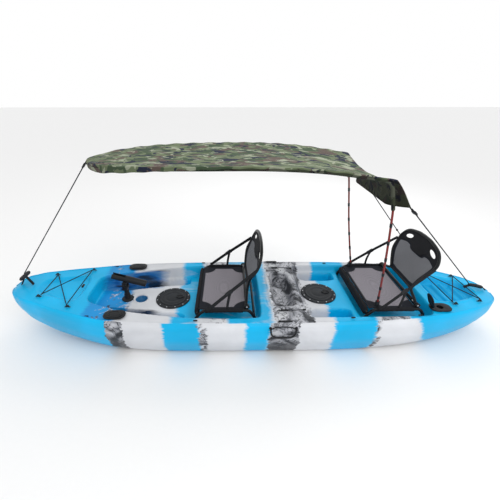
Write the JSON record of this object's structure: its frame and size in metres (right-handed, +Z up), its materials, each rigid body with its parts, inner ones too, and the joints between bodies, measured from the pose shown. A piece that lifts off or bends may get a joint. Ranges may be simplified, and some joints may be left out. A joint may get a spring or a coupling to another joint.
{
  "type": "tandem sit-on-top kayak",
  "caption": "Tandem sit-on-top fishing kayak with folding mesh-backed seats, round hatches, rod holders, laced decks and a pole-framed camouflage sun canopy.",
  "frame": {"origin": "on the keel flat at ground level, halfway along the hull on its centreline", "axes": "+X towards the bow, +Y to port, +Z up"},
  "size_m": [3.7, 0.9158, 1.37],
  "materials": {
    "hull_plastic": "rotomoulded polyethylene, marbled blue, white and black, satin",
    "black_plastic": "injection-moulded, fine grain",
    "black_tube": "powder-coated aluminium tube",
    "seat_mesh": "light grey woven sling mesh",
    "back_mesh": "dark grey woven sling mesh",
    "black_fabric": "black pack cloth with stitched edges",
    "webbing": "black polyester webbing",
    "cord": "braided sheath",
    "camouflage_cloth": "woodland camouflage print, dark edge binding",
    "pole_fibreglass": "dark red pultruded fibreglass",
    "steel": "plain pin"
  },
  "bodies": {
    "kayak_body": {"hull": "hull_plastic", "hatch_front_rim": "black_plastic", "hatch_rear_rim": "black_plastic", "rod_mount_base": "black_plastic", "pole_socket_port": "black_plastic", "pole_socket_starboard": "black_plastic", "flush_holder_bow_port": "black_plastic", "flush_holder_bow_starboard": "black_plastic", "flush_holder_stern_port": "black_plastic", "flush_holder_stern_starboard": "black_plastic", "pad_bow_front_port": "black_plastic", "pad_bow_front_starboard": "black_plastic", "pad_bow_rear_port": "black_plastic", "pad_bow_rear_starboard": "black_plastic", "pad_stern_front_port": "black_plastic", "pad_stern_front_starboard": "black_plastic", "pad_stern_rear_port": "black_plastic", "pad_stern_rear_starboard": "black_plastic", "seat_front_frame": "black_tube", "seat_front_pan": "seat_mesh", "seat_front_front_roll": "black_fabric", "seat_front_strap_port": "webbing", "seat_front_strap_starboard": "webbing", "seat_front_pivot_pin": "steel", "seat_rear_frame": "black_tube", "seat_rear_pan": "seat_mesh", "seat_rear_front_roll": "black_fabric", "seat_rear_strap_port": "webbing", "seat_rear_strap_starboard": "webbing", "seat_rear_pivot_pin": "steel", "bow_handle": "webbing", "stern_handle": "webbing", "guy_bow_buckle": "webbing", "guy_stern_port_buckle": "webbing", "guy_stern_starboard_buckle": "webbing", "bungee_bow": "cord", "bungee_stern": "cord", "guy_bow": "cord", "guy_stern_port": "cord", "guy_stern_starboard": "cord", "canopy_skin": "camouflage_cloth", "pole_port": "pole_fibreglass", "pole_starboard": "pole_fibreglass"},
    "hatch_front_lid": {"hatch_front_lid": "black_plastic"},
    "hatch_rear_lid": {"hatch_rear_lid": "black_plastic"},
    "rod_post": {"rod_mount_post": "black_plastic"},
    "rod_tube": {"rod_mount_tube": "black_plastic"},
    "rod_knob": {"rod_mount_knob": "black_plastic"},
    "cap_bow_port": {"flush_holder_bow_port_cap": "black_plastic"},
    "cap_bow_starboard": {"flush_holder_bow_starboard_cap": "black_plastic"},
    "cap_stern_port": {"flush_holder_stern_port_cap": "black_plastic"},
    "cap_stern_starboard": {"flush_holder_stern_starboard_cap": "black_plastic"},
    "side_handle_port": {"side_handle_port": "black_plastic"},
    "side_handle_starboard": {"side_handle_starboard": "black_plastic"},
    "seat_front_back": {"seat_front_back_frame": "black_tube", "seat_front_back_mesh": "back_mesh", "seat_front_top_panel": "black_fabric"},
    "seat_rear_back": {"seat_rear_back_frame": "black_tube", "seat_rear_back_mesh": "back_mesh", "seat_rear_top_panel": "black_fabric"}
  },
  "joints": [
    {"name": "hatch_front_lift", "type": "slide", "parent": "kayak_body", "child": "hatch_front_lid", "axis": [0, 0, 1], "range_m": [0, 0.1]},
    {"name": "hatch_rear_lift", "type": "slide", "parent": "kayak_body", "child": "hatch_rear_lid", "axis": [0, 0, 1], "range_m": [0, 0.1]},
    {"name": "rod_swivel", "type": "hinge", "parent": "kayak_body", "child": "rod_post", "pos_m": [1.006, 0, 0.29], "axis": [0, 0, 1], "range_deg": [-150, 150]},
    {"name": "rod_tilt", "type": "hinge", "parent": "rod_post", "child": "rod_tube", "pos_m": [1.006, 0, 0.398], "axis": [0, 1, 0], "range_deg": [-30, 40]},
    {"name": "rod_knob_turn", "type": "hinge", "parent": "rod_post", "child": "rod_knob", "pos_m": [1.006, 0.04, 0.398], "axis": [0, 1, 0], "range_deg": [-180, 180]},
    {"name": "cap_bow_port_flip", "type": "hinge", "parent": "kayak_body", "child": "cap_bow_port", "pos_m": [1.053, 0.32, 0.35976], "axis": [0, 1, 0], "range_deg": [0, 150]},
    {"name": "cap_bow_starboard_flip", "type": "hinge", "parent": "kayak_body", "child": "cap_bow_starboard", "pos_m": [1.053, -0.32, 0.35976], "axis": [0, 1, 0], "range_deg": [0, 150]},
    {"name": "cap_stern_port_flip", "type": "hinge", "parent": "kayak_body", "child": "cap_stern_port", "pos_m": [-1.22722, 0.258, 0.35165], "axis": [0, 1, 0], "range_deg": [-112, 22]},
    {"name": "cap_stern_starboard_flip", "type": "hinge", "parent": "kayak_body", "child": "cap_stern_starboard", "pos_m": [-1.23, -0.258, 0.35167], "axis": [0, 1, 0], "range_deg": [0, 150]},
    {"name": "side_handle_port_swing", "type": "hinge", "parent": "kayak_body", "child": "side_handle_port", "pos_m": [-0.151, 0.441, 0.318], "axis": [1, 0, 0], "range_deg": [0, 110]},
    {"name": "side_handle_starboard_swing", "type": "hinge", "parent": "kayak_body", "child": "side_handle_starboard", "pos_m": [-0.151, -0.441, 0.318], "axis": [1, 0, 0], "range_deg": [-110, 0]},
    {"name": "seat_front_back_fold", "type": "hinge", "parent": "kayak_body", "child": "seat_front_back", "pos_m": [0.087, 0, 0.386], "axis": [0, 1, 0], "range_deg": [0, 96]},
    {"name": "seat_rear_back_fold", "type": "hinge", "parent": "kayak_body", "child": "seat_rear_back", "pos_m": [-1.1, 0, 0.386], "axis": [0, 1, 0], "range_deg": [0, 96]}
  ]
}
